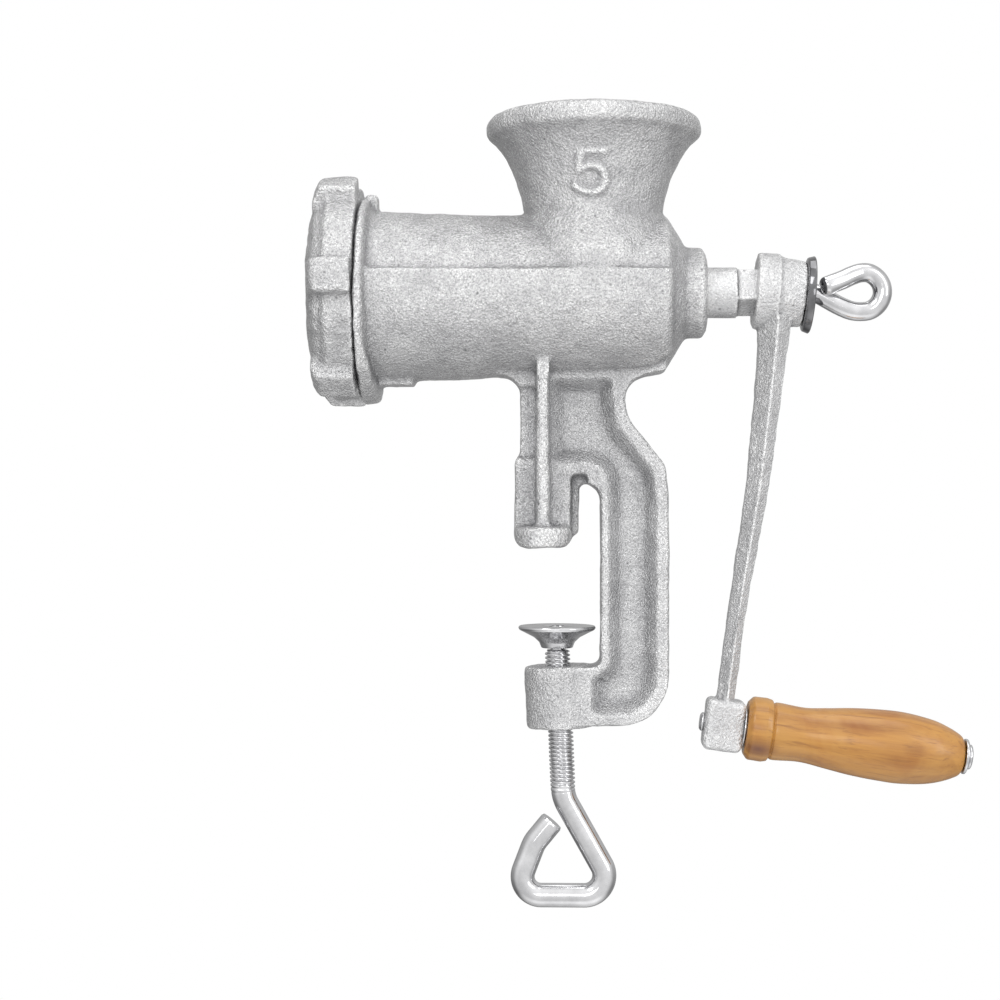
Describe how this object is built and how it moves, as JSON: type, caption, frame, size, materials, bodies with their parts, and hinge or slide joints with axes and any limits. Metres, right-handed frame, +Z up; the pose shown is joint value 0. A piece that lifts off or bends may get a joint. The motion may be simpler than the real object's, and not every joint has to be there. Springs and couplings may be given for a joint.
{
  "type": "hand crank meat grinder",
  "caption": "Table-clamped manual meat grinder: hopper on a horizontal barrel, ring nut with lugs, plate and knife, crank with wooden grip, screw clamp.",
  "frame": {"origin": "centre of the flat seat under the upper jaw, which rests on the table top", "axes": "+Z up, +X along the barrel from the outlet ring towards the crank, -Y towards the side with the size numeral"},
  "size_m": [0.2404, 0.0866, 0.2883],
  "materials": {
    "cast_tin": "sand-cast, tin plated, bright satin with a fine grit",
    "shaft_tin": "tin plated casting, machined shaft, satin",
    "plated_steel": "bright zinc plated",
    "chrome_dish": "mirror polished",
    "dark_steel": "black oxide with ground faces",
    "plate_steel": "ground carbon steel",
    "fibre": "matte vulcanised fibre",
    "bush_plastic": "matte white",
    "varnished_wood": "clear varnish, satin"
  },
  "bodies": {
    "casting": {"body_casting": "cast_tin", "bearing_bush": "bush_plastic", "plate_key_pin": "dark_steel"},
    "drive": {"feed_screw": "shaft_tin", "knife_stud": "dark_steel", "thrust_washer": "fibre", "cross_knife": "dark_steel", "crank_arm": "cast_tin", "grip_pin": "plated_steel", "grip_inner_washer": "plated_steel", "grip_end_washer": "plated_steel"},
    "grip": {"wood_grip": "varnished_wood"},
    "crank_washer": {"crank_washer": "chrome_dish"},
    "eye_screw": {"crank_eye_screw": "plated_steel"},
    "plate": {"grinding_plate": "plate_steel"},
    "ring": {"ring_nut": "cast_tin"},
    "pad": {"clamp_pad": "plated_steel"},
    "clamp_screw": {"clamp_screw": "plated_steel"}
  },
  "joints": [
    {"name": "crank_turn", "type": "hinge", "parent": "casting", "child": "drive", "pos_m": [0.0862, 0, 0.0926], "axis": [1, 0, 0], "continuous": true},
    {"name": "grip_turn", "type": "hinge", "parent": "drive", "child": "grip", "pos_m": [0.06575, 0, -0.06488], "axis": [0.9917, 0, -0.1288], "continuous": true},
    {"name": "eye_screw_travel", "type": "slide", "parent": "drive", "child": "crank_washer", "axis": [1, 0, 0], "range_m": [0, 0.01]},
    {"name": "eye_screw_turn", "type": "hinge", "parent": "crank_washer", "child": "eye_screw", "pos_m": [0.0992, 0, 0.0926], "axis": [1, 0, 0], "range_deg": [0, 2880]},
    {"name": "ring_travel", "type": "slide", "parent": "casting", "child": "plate", "axis": [-1, 0, 0], "range_m": [0, 0.012]},
    {"name": "ring_turn", "type": "hinge", "parent": "plate", "child": "ring", "pos_m": [-0.0792, 0, 0.0926], "axis": [-1, 0, 0], "range_deg": [0, 1440]},
    {"name": "clamp_travel", "type": "slide", "parent": "casting", "child": "pad", "axis": [-0.0401, 0, 0.9992], "range_m": [-0.006, 0.0216]},
    {"name": "clamp_turn", "type": "hinge", "parent": "pad", "child": "clamp_screw", "pos_m": [0.0057, 0, -0.055], "axis": [-0.0401, 0, 0.9992], "range_deg": [-1440, 5184]}
  ],
  "couplings": [
    {"joint": "eye_screw_turn", "follows": "eye_screw_travel", "rad_per_m": 5026.5},
    {"joint": "ring_turn", "follows": "ring_travel", "rad_per_m": 2094.4},
    {"joint": "clamp_turn", "follows": "clamp_travel", "rad_per_m": 4188.7}
  ]
}
